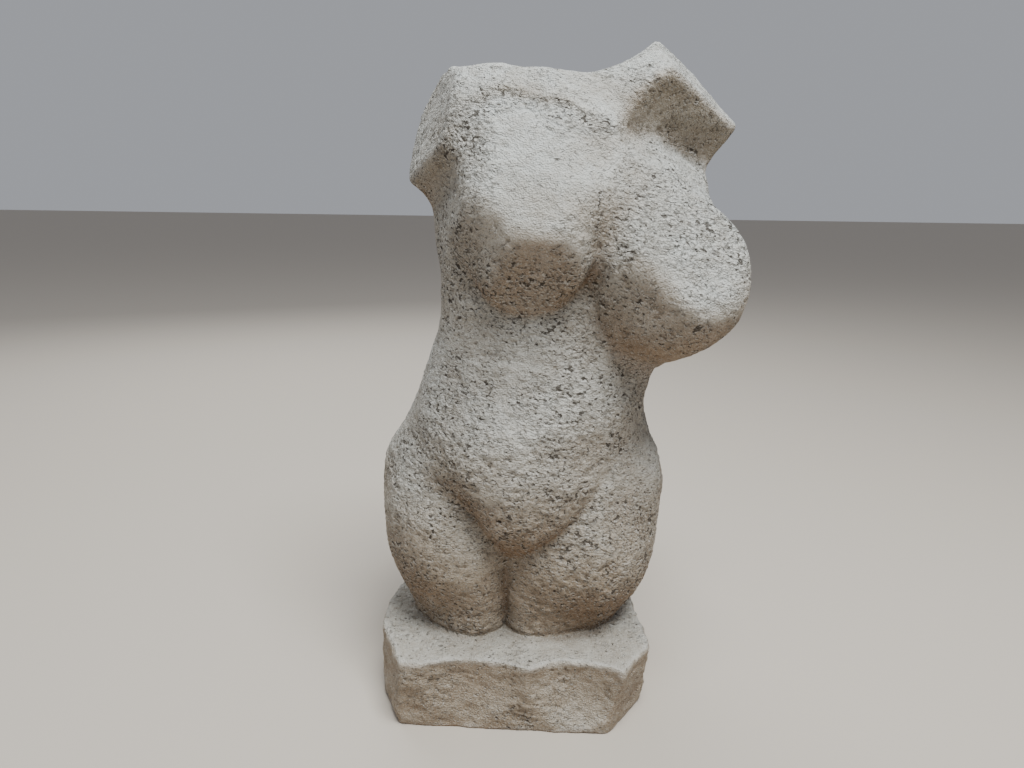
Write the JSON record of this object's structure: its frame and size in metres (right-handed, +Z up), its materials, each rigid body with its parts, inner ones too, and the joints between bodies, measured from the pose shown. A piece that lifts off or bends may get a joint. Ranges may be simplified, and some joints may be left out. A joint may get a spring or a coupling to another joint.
{
  "type": "female torso statue",
  "caption": "Cast-stone torso of a standing woman without head or arms, turned at the waist and cast together with the rough block it stands on.",
  "frame": {"origin": "middle of the flat underside of the block, on the surface that the statue stands on", "axes": "+Z up; the figure faces -Y, its own right side is at -X and its raised left arm is at +X"},
  "size_m": [0.1916, 0.1255, 0.355],
  "materials": {
    "cast_stone": "matt, pitted, warm grey"
  },
  "bodies": {
    "root": {"torso_on_block": "cast_stone"}
  },
  "joints": []
}
